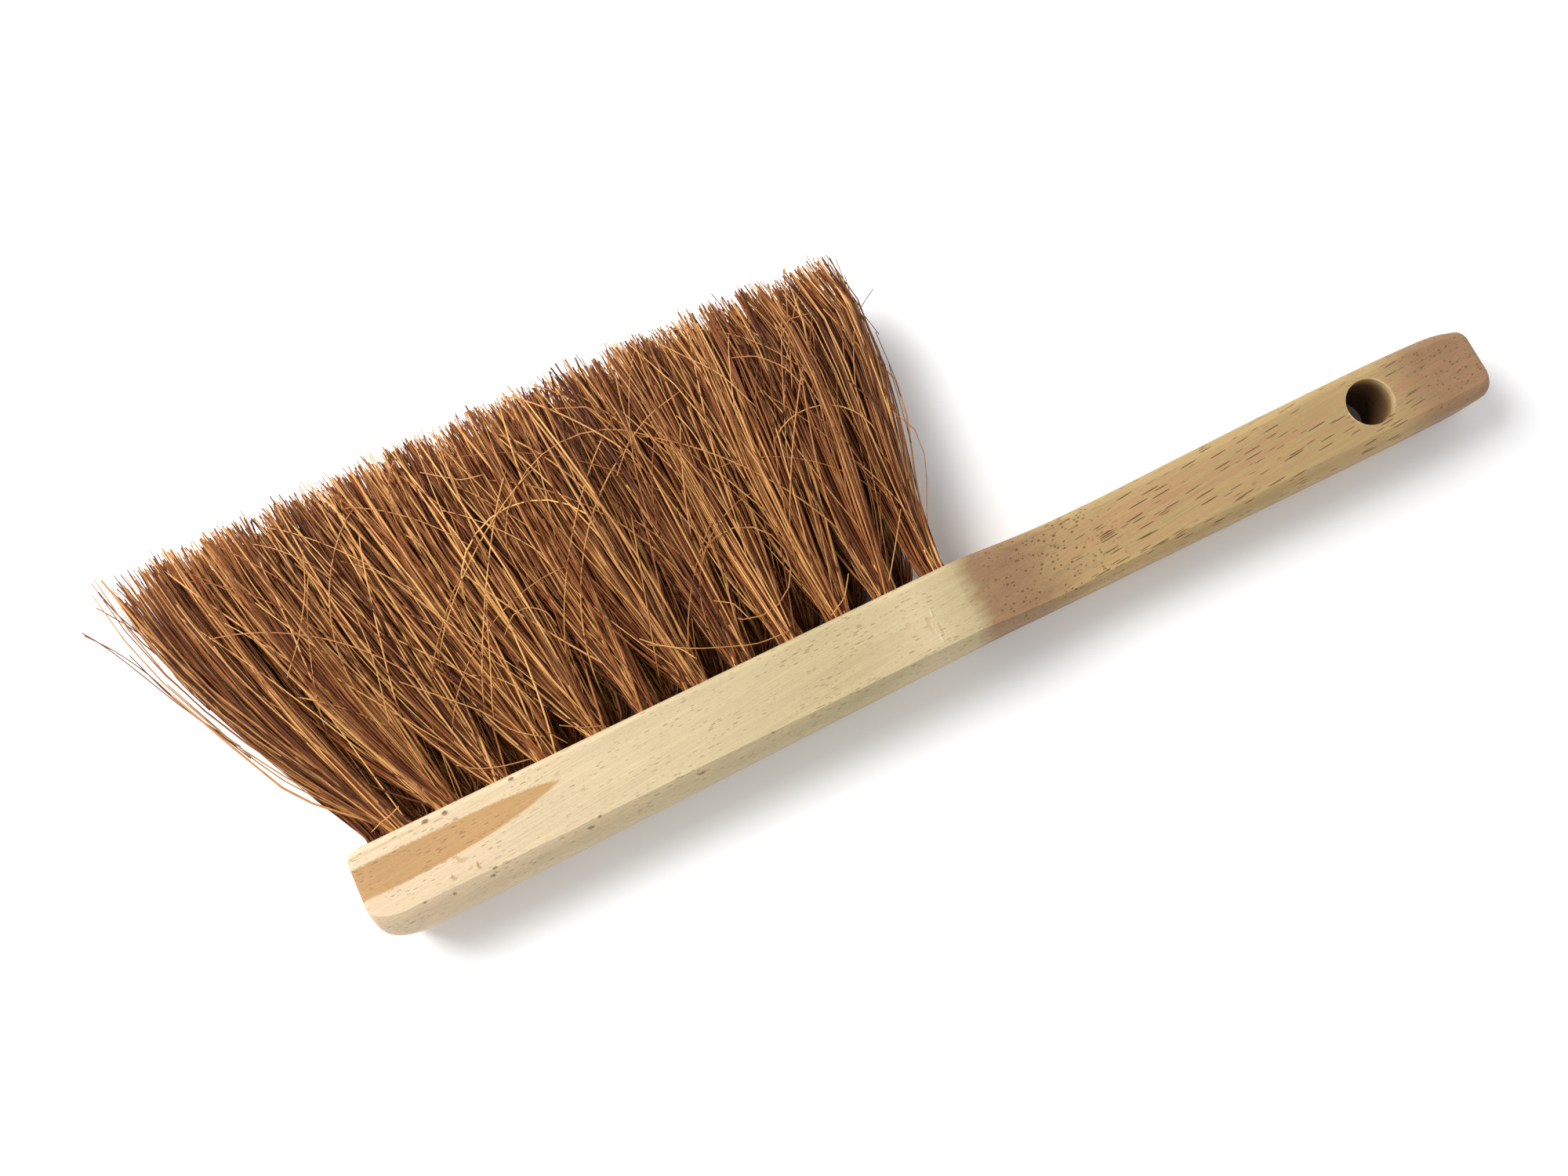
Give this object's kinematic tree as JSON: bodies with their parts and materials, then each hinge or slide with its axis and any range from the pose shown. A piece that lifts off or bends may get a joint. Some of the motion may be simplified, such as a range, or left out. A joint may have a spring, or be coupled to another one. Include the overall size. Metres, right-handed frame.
{
  "type": "bee brush",
  "caption": "Long narrow hand brush: a wooden block and handle with a hanging hole, and rows of fanned coir tufts for sweeping bees off combs.",
  "frame": {"origin": "on the axis of the hanging hole in the handle, at the middle of the block's thickness", "axes": "+X along the brush from the bristle block towards the hanging hole, +Y the way the bristles point, +Z through the thickness, along the hanging hole"},
  "size_m": [0.323, 0.1058, 0.0245],
  "materials": {
    "wood": "bare, sanded pale hardwood, yellow-cream on the block and tanner on the handle",
    "coir": "dry golden to red-brown coir fibre, slightly glossy",
    "anchor_steel": "plain drawn flat wire"
  },
  "bodies": {
    "root": {"anchors_lower": "anchor_steel", "anchors_upper": "anchor_steel", "stock": "wood", "tuft_lower_01": "coir", "tuft_lower_02": "coir", "tuft_lower_03": "coir", "tuft_lower_04": "coir", "tuft_lower_05": "coir", "tuft_lower_06": "coir", "tuft_lower_07": "coir", "tuft_lower_08": "coir", "tuft_lower_09": "coir", "tuft_lower_10": "coir", "tuft_lower_11": "coir", "tuft_lower_12": "coir", "tuft_upper_01": "coir", "tuft_upper_02": "coir", "tuft_upper_03": "coir", "tuft_upper_04": "coir", "tuft_upper_05": "coir", "tuft_upper_06": "coir", "tuft_upper_07": "coir", "tuft_upper_08": "coir", "tuft_upper_09": "coir", "tuft_upper_10": "coir", "tuft_upper_11": "coir", "tuft_upper_12": "coir"}
  },
  "joints": []
}
